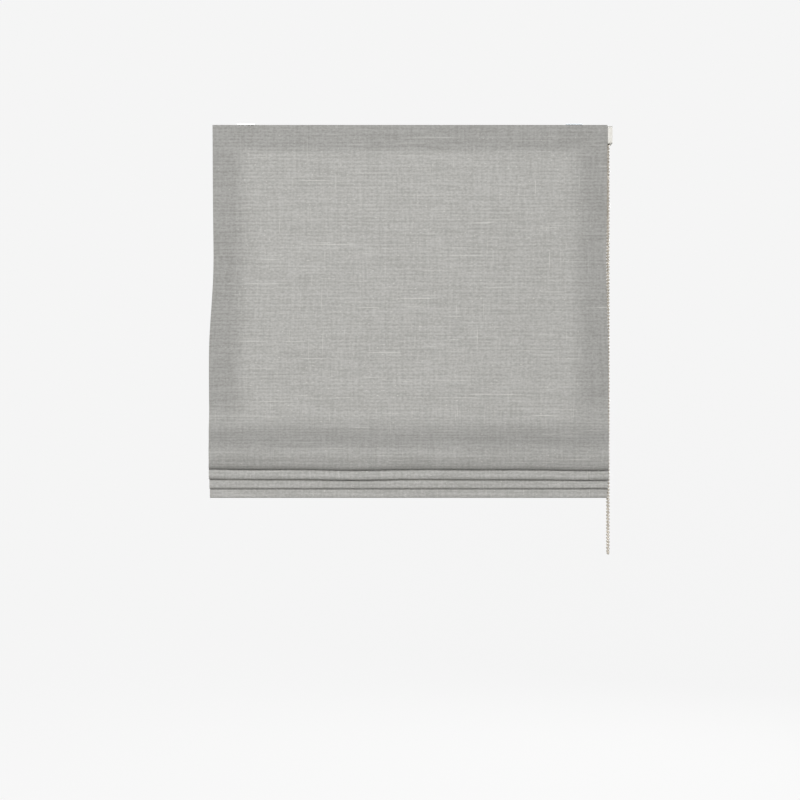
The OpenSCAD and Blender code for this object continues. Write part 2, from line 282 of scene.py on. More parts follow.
class Finish:
    """Base of the finishes: makes each material once and hands it out again."""

    label: str

    def material(self) -> bpy.types.Material:
        """Gives the finish's material, made at its first use.

        Returns:
            The material, with the finish's own nodes in its tree.
        """
        known = bpy.data.materials.get(self.label)
        if known is not None:
            return known
        material = bpy.data.materials.new(self.label)
        material.use_nodes = True
        tree = material.node_tree
        tree.nodes.clear()
        shader = add(tree, "ShaderNodeBsdfPrincipled", self.surface(tree))
        add(tree, "ShaderNodeOutputMaterial", {"Surface": self.shown(tree, shader.outputs["BSDF"])})
        return material

    def surface(self, tree: bpy.types.NodeTree) -> dict[str, Any]:
        """Adds the finish's own nodes.

        Args:
            tree: Material tree.

        Returns:
            Values and sockets for the inputs of its Principled shader.
        """
        raise NotImplementedError

    def shown(self, tree: bpy.types.NodeTree, shader: bpy.types.NodeSocket) -> bpy.types.NodeSocket:
        """Gives the shader as it is; a finish that shows otherwise mixes it."""
        return shader


@dataclass(frozen=True)
class Grain:
    """Noise stretched to a real size: a cell's length across and down, a seed and octaves.

    A grain of the yarn has a share in its tone. A slub shows where the noise passes two limits, and at
    most by an amount.
    """

    across: float
    down: float
    seed: float
    octaves: float = 2.0
    share: float = 0.0
    limits: Stretch = RISE
    most: float = 1.0


@dataclass(frozen=True)
class SlubLinen(Finish):
    """Plain woven linen: matt, uneven yarn in long cross streaks, light slubs and a few nubs.

    From some metres away the single yarns are too fine to show, so streaks some millimetres high carry
    the weave there, and the plain weave itself shows near by. Shade is painted into the colour: a single
    layer lets a little daylight through, so the side hems, the heading and the start of the gathered stack,
    all of more layers, are painted darker, and the band at the stack also paints the shade above the front
    loop.
    """

    label: str = "slub_linen"
    thin: str = "#A3A29E"
    thick: str = "#C3C2BF"
    slub: str = "#E4E3DE"
    # Painted shade: how dark the colour is made where the cloth is of more layers
    painted_shade_tone: float = 0.82
    yarn_mm: float = 1.3
    row_mm: float = 6.5
    weave_share: float = 0.09
    row_share: float = 0.06
    thread: Grain = Grain(5.2, 3.2, 3.1, share=0.46)
    weft: Grain = Grain(60.0, 3.2, 5.9, share=0.29)
    warp: Grain = Grain(3.2, 60.0, 7.7, share=0.2)
    cloud: Grain = Grain(130.0, 90.0, 1.3, share=0.05)
    weft_fuzz: Grain = Grain(9.0, 1.1, 5.0, share=0.12)
    warp_fuzz: Grain = Grain(1.1, 9.0, 29.0, share=0.1)
    long_slub: Grain = Grain(110.0, 1.6, 11.0, 1.0, limits=(0.7, 0.77))
    up_slub: Grain = Grain(1.9, 70.0, 17.0, 1.0, limits=(0.71, 0.79), most=0.6)
    nub: Grain = Grain(4.0, 3.0, 23.0, 0.0, limits=(0.76, 0.84), most=0.5)
    tone_limits: Stretch = (0.46, 0.82)
    float_limits: Stretch = (-0.6, 0.6)
    float_least: float = 0.45
    # Limits of the painted shade's bands: across the width at the side hems, down the cloth at the heading,
    # the end of the flat panel and the start of the stack
    hem_shade_mm: Stretch = (283.0, 331.0)
    heading_shade_mm: Stretch = (38.0, 56.0)
    panel_shade_mm: Stretch = (485.0, 575.0)
    stack_shade_in_mm: Stretch = (524.0, 588.0)
    stack_shade_out_mm: Stretch = (592.0, 620.0)
    weave_relief: float = 0.16
    weft_relief: float = 0.4
    warp_relief: float = 0.3
    slub_relief: float = 0.5
    relief_mm: float = 0.5

    @property
    def yarns(self) -> tuple[Grain, ...]:
        """Grains that make up the yarn's tone."""
        return self.thread, self.weft, self.warp, self.cloud, self.weft_fuzz, self.warp_fuzz

    def surface(self, tree: bpy.types.NodeTree) -> dict[str, Any]:
        """Adds yarn, slubs, painted shade in the bands of more layers and a low bump.

        Args:
            tree: Material tree.

        Returns:
            Values and sockets for the inputs of its Principled shader.
        """
        place = add(tree, "ShaderNodeUVMap", uv_map="weave").outputs["UV"]
        noise = self._noise(tree, place)
        weave = self._weave(tree, place)
        raised = self._raised(tree, noise, weave)
        tone: Any = linear(self.thin)
        for share, colour in ((self._yarn(tree, place, noise, weave), self.thick), (raised, self.slub)):
            tone = add(tree, "ShaderNodeMix", {FACTOR: share, COLOUR_A: tone, COLOUR_B: linear(colour)},
                       data_type="RGBA").outputs[MIXED_COLOUR]
        # Painted shade: the colour is multiplied darker in the bands of more layers
        shade = add(tree, "ShaderNodeMix", {
            FACTOR: self._painted_shade_bands(tree, place), COLOUR_A: WHITE, COLOUR_B: (*[self.painted_shade_tone] * 3, 1.0)},
            data_type="RGBA")
        final = add(tree, "ShaderNodeMix", {
            FACTOR: 1.0, COLOUR_A: tone, COLOUR_B: shade.outputs[MIXED_COLOUR]}, data_type="RGBA",
            blend_type="MULTIPLY")
        height: Any = 0.0
        for value, share in ((weave, self.weave_relief), (noise[self.weft_fuzz], self.weft_relief),
                             (noise[self.warp_fuzz], self.warp_relief), (raised, self.slub_relief)):
            height = add(tree, "ShaderNodeMath", {0: value, 1: share, 2: height},
                         operation="MULTIPLY_ADD").outputs["Value"]
        bump = add(tree, "ShaderNodeBump",
                   {"Height": height, "Strength": 0.5, "Distance": self.relief_mm * MM})
        return {"Base Color": final.outputs[MIXED_COLOUR], "Normal": bump.outputs["Normal"],
                "Roughness": 0.92, "Specular IOR Level": 0.2, "Sheen Weight": 0.08, "Sheen Roughness": 0.6}

    def _noise(self, tree: bpy.types.NodeTree,
               place: bpy.types.NodeSocket) -> dict[Grain, bpy.types.NodeSocket]:
        """Adds the noise of every grain.

        Args:
            tree: Material tree.
            place: Socket of the cloth's own map in metres.

        Returns:
            Socket of each grain's noise.
        """
        noise: dict[Grain, bpy.types.NodeSocket] = {}
        for grain in (*self.yarns, self.long_slub, self.up_slub, self.nub):
            cell = add(tree, "ShaderNodeMapping", {
                "Vector": place, "Scale": (1.0 / (grain.across * MM), 1.0 / (grain.down * MM), 1.0),
                "Location": tuple(grain.seed * step for step in SEED_STEPS)})
            noise[grain] = add(tree, "ShaderNodeTexNoise", {
                "Vector": cell.outputs["Vector"], "Scale": 1.0, "Detail": grain.octaves,
                "Roughness": 0.55}).outputs["Fac"]
        return noise

    def _weave(self, tree: bpy.types.NodeTree, place: bpy.types.NodeSocket) -> bpy.types.NodeSocket:
        """Adds the plain weave, in which warp and weft take turns on top.

        Args:
            tree: Material tree.
            place: Socket of the cloth's own map in metres.

        Returns:
            Socket of the weave's height, from -1 to 1.
        """
        turn = math.pi / (self.yarn_mm * MM)
        turned = add(tree, "ShaderNodeMapping", {"Vector": place, "Scale": (turn, turn, turn)})
        crossing = add(tree, "ShaderNodeSeparateXYZ", {"Vector": turned.outputs["Vector"]})
        over = [add(tree, "ShaderNodeMath", {0: crossing.outputs[axis]}, operation="SINE").outputs["Value"]
                for axis in ("X", "Y")]
        return add(tree, "ShaderNodeMath", {0: over[0], 1: over[1]}, operation="MULTIPLY").outputs["Value"]

    def _yarn(self, tree: bpy.types.NodeTree, place: bpy.types.NodeSocket,
              noise: Mapping[Grain, bpy.types.NodeSocket],
              weave: bpy.types.NodeSocket) -> bpy.types.NodeSocket:
        """Adds up the weave, its uneven rows and the yarn's grains.

        Args:
            tree: Material tree.
            place: Socket of the cloth's own map in metres.
            noise: Socket of each grain's noise.
            weave: Socket of the weave's height.

        Returns:
            Socket of the yarn's tone, from 0 where it is thin to 1 where it is thick.
        """
        rows = add(tree, "ShaderNodeTexWave", {
            "Vector": place, "Scale": WAVE_BAND / (self.row_mm * MM), "Distortion": 1.6, "Detail": 1.0,
            "Detail Scale": 0.6}, wave_type="BANDS", bands_direction="Y").outputs["Fac"]
        yarn: Any = 0.0
        for value, share in ((weave, self.weave_share), (rows, self.row_share),
                             *((noise[grain], grain.share) for grain in self.yarns)):
            yarn = add(tree, "ShaderNodeMath", {0: value, 1: share, 2: yarn},
                       operation="MULTIPLY_ADD").outputs["Value"]
        return add(tree, "ShaderNodeMapRange", {
            "Value": yarn, "From Min": self.tone_limits[0], "From Max": self.tone_limits[1]},
            interpolation_type="SMOOTHSTEP").outputs["Result"]

    def _raised(self, tree: bpy.types.NodeTree, noise: Mapping[Grain, bpy.types.NodeSocket],
                weave: bpy.types.NodeSocket) -> bpy.types.NodeSocket:
        """Adds slubs, which the yarns that cross them half cover, and nubs, which lie on top.

        Args:
            tree: Material tree.
            noise: Socket of each grain's noise.
            weave: Socket of the weave's height.

        Returns:
            Socket of how much a slub or nub shows, from 0 to 1.
        """
        step: dict[str, bpy.types.NodeSocket] = {}
        for name, value, limits, ends in (
                ("float", weave, self.float_limits, (self.float_least, 1.0)),
                *((name, noise[grain], grain.limits, (0.0, grain.most)) for name, grain in (
                    ("long_slub", self.long_slub), ("up_slub", self.up_slub), ("nub", self.nub)))):
            step[name] = add(tree, "ShaderNodeMapRange", {
                "Value": value, "From Min": limits[0], "From Max": limits[1], "To Min": ends[0],
                "To Max": ends[1]}, interpolation_type="SMOOTHSTEP").outputs["Result"]
        for name, how, first, second in (
                ("slubs", "MAXIMUM", "long_slub", "up_slub"), ("woven", "MULTIPLY", "slubs", "float"),
                ("raised", "MAXIMUM", "woven", "nub")):
            step[name] = add(tree, "ShaderNodeMath", {0: step[first], 1: step[second]},
                             operation=how).outputs["Value"]
        return step["raised"]

    def _painted_shade_bands(self, tree: bpy.types.NodeTree, place: bpy.types.NodeSocket) -> bpy.types.NodeSocket:
        """Adds the bands of painted shade where the flat cloth is doubled, and where it goes into the
        stack.

        Args:
            tree: Material tree.
            place: Socket of the cloth's own map in metres.

        Returns:
            Socket of how much painted shade the colour gets where the cloth is of more layers, from 0 to 1.
        """
        spot = add(tree, "ShaderNodeSeparateXYZ", {"Vector": place})
        away = add(tree, "ShaderNodeMath", {0: spot.outputs["X"]}, operation="ABSOLUTE").outputs["Value"]
        down = spot.outputs["Y"]
        step: dict[str, bpy.types.NodeSocket] = {}
        for name, value, limits, ends in (
                ("hem", away, self.hem_shade_mm, RISE), ("heading", down, self.heading_shade_mm, FALL),
                ("panel", down, self.panel_shade_mm, FALL), ("stack_in", down, self.stack_shade_in_mm, RISE),
                ("stack_out", down, self.stack_shade_out_mm, FALL)):
            step[name] = add(tree, "ShaderNodeMapRange", {
                "Value": value, "From Min": limits[0] * MM, "From Max": limits[1] * MM, "To Min": ends[0],
                "To Max": ends[1]}, interpolation_type="SMOOTHSTEP").outputs["Result"]
        for name, how, first, second in (
                ("sewn", "MAXIMUM", "hem", "heading"), ("flat", "MULTIPLY", "sewn", "panel"),
                ("stack", "MULTIPLY", "stack_in", "stack_out"), ("layers", "MAXIMUM", "flat", "stack")):
            step[name] = add(tree, "ShaderNodeMath", {0: step[first], 1: step[second]},
                             operation=how).outputs["Value"]
        return step["layers"]


@dataclass(frozen=True)
class Pattern:
    """What a two-tone finish draws: where its light tone shows, its relief and other shader inputs."""

    light: bpy.types.NodeSocket
    height: bpy.types.NodeSocket
    inputs: Mapping[str, Any]


@dataclass(frozen=True)
class TwoTone(Finish):
    """Base of the plain finishes: two close tones and a fine relief, spread by one pattern."""

    label: str
    light: str
    shade: str
    relief_mm: float
    relief: float = 0.6

    def surface(self, tree: bpy.types.NodeTree) -> dict[str, Any]:
        """Mixes the tones and adds the relief where the pattern says.

        Args:
            tree: Material tree.

        Returns:
            Values and sockets for the inputs of its Principled shader.
        """
        drawn = self.pattern(tree, add(tree, "ShaderNodeTexCoord").outputs["Object"])
        tone = add(tree, "ShaderNodeMix", {FACTOR: drawn.light, COLOUR_A: linear(self.shade),
                                           COLOUR_B: linear(self.light)}, data_type="RGBA")
        bump = add(tree, "ShaderNodeBump",
                   {"Height": drawn.height, "Strength": self.relief, "Distance": self.relief_mm * MM})
        return {"Base Color": tone.outputs[MIXED_COLOUR], "Normal": bump.outputs["Normal"], **drawn.inputs}

    def pattern(self, tree: bpy.types.NodeTree, place: bpy.types.NodeSocket) -> Pattern:
        """Draws the finish's pattern.

        Args:
            tree: Material tree.
            place: Socket of the piece's own coordinates in metres.

        Returns:
            The pattern.
        """
        raise NotImplementedError


@dataclass(frozen=True)
class WovenCotton(TwoTone):
    """Close cotton weave for lining and tapes: matt, even and pale, with a faint cross grain."""

    label: str = "cotton_sateen"
    light: str = "#E6E2D8"
    shade: str = "#DFDACF"
    relief_mm: float = 0.2
    yarn_mm: float = 0.9
    rows_mm: float = 1.5
    rows_long_mm: float = 30.0
    yarn_share: float = 0.4
    limits: Stretch = (0.35, 0.65)

    def pattern(self, tree: bpy.types.NodeTree, place: bpy.types.NodeSocket) -> Pattern:
        """Draws the cross grain and the weave; the yarn is drawn coarser than it is to show.

        Args:
            tree: Material tree.
            place: Socket of the piece's own coordinates in metres.

        Returns:
            The pattern.
        """
        long = 1.0 / (self.rows_long_mm * MM)
        rows = add(tree, "ShaderNodeMapping",
                   {"Vector": place, "Scale": (long, long, 1.0 / (self.rows_mm * MM))})
        grain = add(tree, "ShaderNodeTexNoise", {"Vector": rows.outputs["Vector"], "Scale": 1.0})
        yarn = add(tree, "ShaderNodeTexNoise", {"Vector": place, "Scale": 1.0 / (self.yarn_mm * MM)})
        both = add(tree, "ShaderNodeMix", {FACTOR: self.yarn_share, NUMBER_A: grain.outputs["Fac"],
                                           NUMBER_B: yarn.outputs["Fac"]})
        light = add(tree, "ShaderNodeMapRange", {
            "Value": both.outputs[MIXED_NUMBER], "From Min": self.limits[0], "From Max": self.limits[1]},
            interpolation_type="SMOOTHSTEP")
        return Pattern(light.outputs["Result"], yarn.outputs["Fac"],
                       {"Roughness": 0.88, "Specular IOR Level": 0.2})


@dataclass(frozen=True)
class BraidedCord(TwoTone):
    """Braided polyester cord: matt off white with the slanted strands of its braid."""

    label: str = "braided_polyester"
    light: str = "#E9E6DC"
    shade: str = "#CBC6B8"
    relief_mm: float = 0.15
    relief: float = 0.8
    strand_mm: float = 1.4
    slant: Point = (0.6, 0.6, 0.0)

    def pattern(self, tree: bpy.types.NodeTree, place: bpy.types.NodeSocket) -> Pattern:
        """Draws slanted bands; a strand is drawn longer than it is so that it shows.

        Args:
            tree: Material tree.
            place: Socket of the piece's own coordinates in metres.

        Returns:
            The pattern.
        """
        turned = add(tree, "ShaderNodeMapping", {"Vector": place, "Rotation": self.slant})
        strands = add(tree, "ShaderNodeTexWave", {
            "Vector": turned.outputs["Vector"], "Scale": WAVE_BAND / (self.strand_mm * MM),
            "Distortion": 0.4}, wave_type="BANDS", bands_direction="Z").outputs["Fac"]
        return Pattern(strands, strands, {"Roughness": 0.8})


@dataclass(frozen=True)
class DrawnMetal(TwoTone):
    """Metal with lines along its length: anodised aluminium, plated or drawn steel, or nickel."""

    label: str = "anodised_aluminium"
    light: str = "#C4C6C8"
    shade: str = "#B2B4B7"
    relief_mm: float = 0.02
    line_mm: Point = (90.0, 0.7, 0.7)
    limits: Stretch = (0.3, 0.7)
    rough: Stretch = (0.34, 0.46)

    def pattern(self, tree: bpy.types.NodeTree, place: bpy.types.NodeSocket) -> Pattern:
        """Draws the lines, which are duller where they are darker.

        Args:
            tree: Material tree.
            place: Socket of the piece's own coordinates in metres.

        Returns:
            The pattern.
        """
        cell = add(tree, "ShaderNodeMapping",
                   {"Vector": place, "Scale": tuple(1.0 / (size * MM) for size in self.line_mm)})
        lines = add(tree, "ShaderNodeTexNoise",
                    {"Vector": cell.outputs["Vector"], "Scale": 1.0}).outputs["Fac"]
        light = add(tree, "ShaderNodeMapRange", {
            "Value": lines, "From Min": self.limits[0], "From Max": self.limits[1]},
            interpolation_type="SMOOTHSTEP").outputs["Result"]
        worn = add(tree, "ShaderNodeMix", {FACTOR: light, NUMBER_A: self.rough[1], NUMBER_B: self.rough[0]})
        return Pattern(light, lines, {"Roughness": worn.outputs[MIXED_NUMBER], "Metallic": 1.0})


@dataclass(frozen=True)
class MouldedPlastic(TwoTone):
    """Injection moulded plastic: even colour, a fine eroded grain and slightly worn gloss."""

    label: str = "moulded_nylon"
    light: str = "#EBE9E3"
    shade: str = "#E1DED6"
    relief_mm: float = 0.03
    relief: float = 0.5
    cloud_mm: float = 14.0
    grain_mm: float = 0.8
    limits: Stretch = (0.3, 0.7)
    rough: Stretch = (0.4, 0.55)
    ior: float = 1.53

    def pattern(self, tree: bpy.types.NodeTree, place: bpy.types.NodeSocket) -> Pattern:
        """Draws the grain; it is drawn coarser than the real one so that it shows.

        Args:
            tree: Material tree.
            place: Socket of the piece's own coordinates in metres.

        Returns:
            The pattern.
        """
        cloud = add(tree, "ShaderNodeTexNoise", {"Vector": place, "Scale": 1.0 / (self.cloud_mm * MM)})
        grain = add(tree, "ShaderNodeTexNoise",
                    {"Vector": place, "Scale": 1.0 / (self.grain_mm * MM), "Detail": 1.0})
        light = add(tree, "ShaderNodeMapRange", {
            "Value": cloud.outputs["Fac"], "From Min": self.limits[0], "From Max": self.limits[1]},
            interpolation_type="SMOOTHSTEP").outputs["Result"]
        worn = add(tree, "ShaderNodeMix", {FACTOR: light, NUMBER_A: self.rough[0], NUMBER_B: self.rough[1]})
        return Pattern(light, grain.outputs["Fac"],
                       {"Roughness": worn.outputs[MIXED_NUMBER], "IOR": self.ior})


@dataclass(frozen=True)
class PileTape(TwoTone):
    """Hook and loop tape: matt white nylon with a dense field of small hooks or loops."""

    label: str = "hook_and_loop_nylon"
    light: str = "#EDECE8"
    shade: str = "#CFCDC6"
    relief_mm: float = 0.4
    relief: float = 0.8
    hook_mm: float = 1.6
    limits: Stretch = (0.1, 0.6)

    def pattern(self, tree: bpy.types.NodeTree, place: bpy.types.NodeSocket) -> Pattern:
        """Draws a field of dots at the hooks' spacing.

        Args:
            tree: Material tree.
            place: Socket of the piece's own coordinates in metres.

        Returns:
            The pattern.
        """
        dots = add(tree, "ShaderNodeTexVoronoi",
                   {"Vector": place, "Scale": 1.0 / (self.hook_mm * MM), "Randomness": 0.6})
        near = add(tree, "ShaderNodeMapRange", {
            "Value": dots.outputs["Distance"], "From Min": self.limits[0], "From Max": self.limits[1],
            "To Min": FALL[0], "To Max": FALL[1]}, interpolation_type="SMOOTHSTEP").outputs["Result"]
        return Pattern(near, near, {"Roughness": 0.85})


@dataclass(frozen=True)
class ClearPlastic(Finish):
    """Clear moulded polycarbonate: glassy, faintly grey, with flow marks."""

    label: str = "clear_polycarbonate"
    light: str = "#EEF0F0"
    shade: str = "#E2E5E5"
    flow_mm: float = 3.0
    rough: Stretch = (0.08, 0.2)

    def surface(self, tree: bpy.types.NodeTree) -> dict[str, Any]:
        """Adds flow marks to a clear shader.

        Args:
            tree: Material tree.

        Returns:
            Values and sockets for the inputs of its Principled shader.
        """
        place = add(tree, "ShaderNodeTexCoord").outputs["Object"]
        flow = add(tree, "ShaderNodeTexNoise",
                   {"Vector": place, "Scale": 1.0 / (self.flow_mm * MM)}).outputs["Fac"]
        tone = add(tree, "ShaderNodeMix", {FACTOR: flow, COLOUR_A: linear(self.shade),
                                           COLOUR_B: linear(self.light)}, data_type="RGBA")
        worn = add(tree, "ShaderNodeMix", {FACTOR: flow, NUMBER_A: self.rough[0], NUMBER_B: self.rough[1]})
        return {"Base Color": tone.outputs[MIXED_COLOUR], "Roughness": worn.outputs[MIXED_NUMBER],
                "IOR": 1.58, "Transmission Weight": 0.75}


@dataclass(frozen=True)
class StudioWhite(Finish):
    """Matt grey studio paper that throws little light back.

    The eye sees it near white, with a trace of the blind's shadow on it.
    """

    label: str = "studio_paper"
    paper: str = "#ACACAA"
    glow: float = 0.9

    def surface(self, tree: bpy.types.NodeTree) -> dict[str, Any]:
        """Gives plain matt paper."""
        return {"Base Color": linear(self.paper), "Roughness": 0.95}

    def shown(self, tree: bpy.types.NodeTree, shader: bpy.types.NodeSocket) -> bpy.types.NodeSocket:
        """Mixes the paper with white for rays that the eye or a shiny surface sends.

        Args:
            tree: Material tree.
            shader: Socket of the plain paper.

        Returns:
            Socket of the mixed paper.
        """
        rays = add(tree, "ShaderNodeLightPath")
        seen = rays.outputs["Is Camera Ray"]
        for other in ("Is Glossy Ray", "Is Transmission Ray"):
            seen = add(tree, "ShaderNodeMath", {0: seen, 1: rays.outputs[other]},
                       operation="MAXIMUM").outputs["Value"]
        share = add(tree, "ShaderNodeMath", {0: seen, 1: self.glow}, operation="MULTIPLY")
        white = add(tree, "ShaderNodeEmission", {"Color": WHITE, "Strength": 1.0})
        mixed = add(tree, "ShaderNodeMixShader", {0: share.outputs["Value"], 1: shader,
                                                  2: white.outputs["Emission"]})
        return mixed.outputs["Shader"]


LINEN = SlubLinen()
LINING = WovenCotton()
CORD = BraidedCord()
ALUMINIUM = DrawnMetal()
NYLON = MouldedPlastic()
CLEAR = ClearPlastic()
PILE = PileTape()
PAPER = StudioWhite()
# Woven cotton tape over the rods: darker than the lining, with a coarser yarn
TAPE = WovenCotton(label="cotton_tape", light="#DEDACE", shade="#CBC6B8", yarn_mm=1.1, rows_mm=1.6)
# Twisted sewing thread: darker than the lining, so that a stitch shows on it
THREAD = BraidedCord(label="sewing_thread", light="#DAD7CD", shade="#BDB9AD", strand_mm=0.8)
# Zinc plated steel: bright and cloudy, without lines
PLATED_STEEL = DrawnMetal(label="zinc_plated_steel", light="#BFC3C6", shade="#A9AEB2", relief_mm=0.03,
                          line_mm=(9.0, 9.0, 9.0), rough=(0.3, 0.45))
# Cold drawn steel bar: greyer than the rail, with finer lines
SHAFT_STEEL = DrawnMetal(label="drawn_steel", light="#AFB1B2", shade="#989A9C", line_mm=(60.0, 0.5, 0.5))
# Satin nickel plate on the beads: warm grey and half matt
NICKEL = DrawnMetal(label="satin_nickel", light="#C6BFB4", shade="#B0A99E", line_mm=(5.0, 5.0, 5.0),
                    rough=(0.42, 0.56))
# Moulded grey acetal of the running parts: dark and a little waxy
ACETAL = MouldedPlastic(label="grey_acetal", light="#5E6062", shade="#525456", rough=(0.3, 0.42), ior=1.48)
# Pultruded fibreglass rod: off white, with a coarser grain than moulded plastic
FIBREGLASS = MouldedPlastic(label="pultruded_fibreglass", light="#EDEBE2", shade="#DAD7CA", grain_mm=1.2)


@dataclass(frozen=True)
class SoftLight:
    """One square studio light: name, place and size in metres and power in watts."""

    name: str
    place: Point
    size: float
    power: float


@dataclass
class Stage:
    """Floor, backdrop, soft lights and the camera in front of the blind, in metres."""

    flat_y: float
    frame_width: float = 1.4584
    distance: float = 3.2
    centre: Stretch = (-0.0182, -0.5043)
    floor_z: float = -1.6
    floor_reach: float = 5.5
    wall_y: float = 4.6
    wall_top: float = 4.0
    curve_r: float = 1.2
    aim: Point = (0.0, 0.0, -0.42)
    lights: tuple[SoftLight, ...] = (SoftLight("key", (-0.5, -3.0, 0.3), 0.9, 69.0),
                                     SoftLight("fill", (1.8, -2.4, 0.0), 0.8, 9.0),
                                     SoftLight("back", (0.9, 2.9, 0.5), 1.2, 85.0),
                                     SoftLight("left", (-2.6, 0.5, -0.3), 1.0, 8.0),
                                     SoftLight("right", (2.6, 0.5, -0.3), 1.0, 8.0))
    sky: float = 0.15
    sky_in_gloss: float = 0.5
    sky_in_view: float = 0.78

    def build(self) -> None:
        """Makes the camera, the pale paper and the lights."""
        scene = bpy.context.scene
        scene.view_settings.view_transform = "Standard"
        lens = bpy.data.cameras.new("camera")
        lens.sensor_width = 36.0
        lens.lens = lens.sensor_width * self.distance / self.frame_width
        camera = bpy.data.objects.new("camera", lens)
        camera.location = (self.centre[0], self.flat_y - self.distance, self.centre[1])
        camera.rotation_euler = (math.radians(90.0), 0.0, 0.0)
        scene.collection.objects.link(camera)
        scene.camera = camera
        self._paper()
        self._lights()
        self._sky()

    def _paper(self, curve_n: int = 12) -> None:
        """Makes one sheet of paper that runs along the floor and curves up into the backdrop.

        Args:
            curve_n: Pieces of the curve.
        """
        rows: list[Stretch] = [(-self.floor_reach, self.floor_z)]
        for step in range(curve_n + 1):
            angle = math.radians(90.0 * step / curve_n)
            rows.append((self.wall_y - self.curve_r * (1.0 - math.sin(angle)),
                         self.floor_z + self.curve_r * (1.0 - math.cos(angle))))
        rows.append((self.wall_y, self.wall_top))
        verts = [(x, y, z) for y, z in rows for x in (-self.floor_reach, self.floor_reach)]
        faces = [(2 * i, 2 * i + 1, 2 * i + 3, 2 * i + 2) for i in range(len(rows) - 1)]
        paper = mesh_piece("studio_paper", verts, faces, material=PAPER.material())
        paper.data.shade_smooth()

    def _lights(self) -> None:
        """Adds the soft lights, all turned to the blind."""
        for light in self.lights:
            lamp = bpy.data.lights.new(light.name, "AREA")
            lamp.shape = "SQUARE"
            lamp.size = light.size
            lamp.energy = light.power
            holder = bpy.data.objects.new(light.name, lamp)
            holder.location = light.place
            way = Vector(self.aim) - Vector(light.place)
            holder.rotation_euler = way.to_track_quat("-Z", "Y").to_euler()
            bpy.context.scene.collection.objects.link(holder)

    def _sky(self) -> None:
        """Adds a pale sky that lights little, and shows paler to the eye and in shiny surfaces."""
        world = bpy.data.worlds.new("studio")
        bpy.context.scene.world = world
        world.use_nodes = True
        tree = world.node_tree
        rays = add(tree, "ShaderNodeLightPath")
        strength: Any = self.sky
        for ray, more in (("Is Glossy Ray", self.sky_in_gloss), ("Is Camera Ray", self.sky_in_view)):
            strength = add(tree, "ShaderNodeMath", {0: rays.outputs[ray], 1: more, 2: strength},
                           operation="MULTIPLY_ADD").outputs["Value"]
        sky = tree.nodes["Background"]
        sky.inputs["Color"].default_value = WHITE
        tree.links.new(strength, sky.inputs["Strength"])


@dataclass(frozen=True)
class Station:
    """One point of the cloth's side profile, with the way to its back and its run from the heading."""

    y: float
    z: float
    back_y: float
    back_z: float
    run: float


